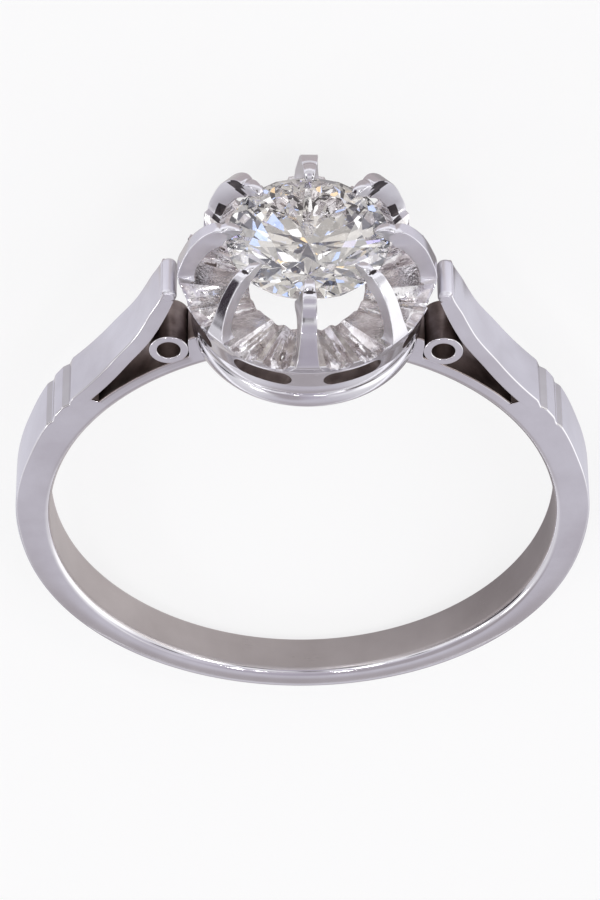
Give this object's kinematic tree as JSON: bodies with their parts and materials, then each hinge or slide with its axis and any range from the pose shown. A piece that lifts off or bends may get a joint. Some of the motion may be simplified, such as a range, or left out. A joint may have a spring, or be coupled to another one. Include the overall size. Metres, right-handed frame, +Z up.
{
  "type": "solitaire ring",
  "caption": "Solitaire ring resting on its side: a plain band with pierced split shoulders carries a claw-set round brilliant over a fluted cup.",
  "frame": {"origin": "centre of the bounding box's lowest face, on the surface that the ring lies on", "axes": "+Z up from that surface; -Y from the middle of the finger hole towards the stone; X across the shoulders. The finger hole's axis leans 9.5 degrees from +Z towards +Y, because the head is wider than the band."},
  "size_m": [0.0194, 0.0234, 0.0083],
  "materials": {
    "white_metal": "mirror-polished, rhodium-white; satin inside the band",
    "stone": "polished facets"
  },
  "bodies": {
    "root": {"ring_mount": "white_metal", "diamond": "stone"}
  },
  "joints": []
}
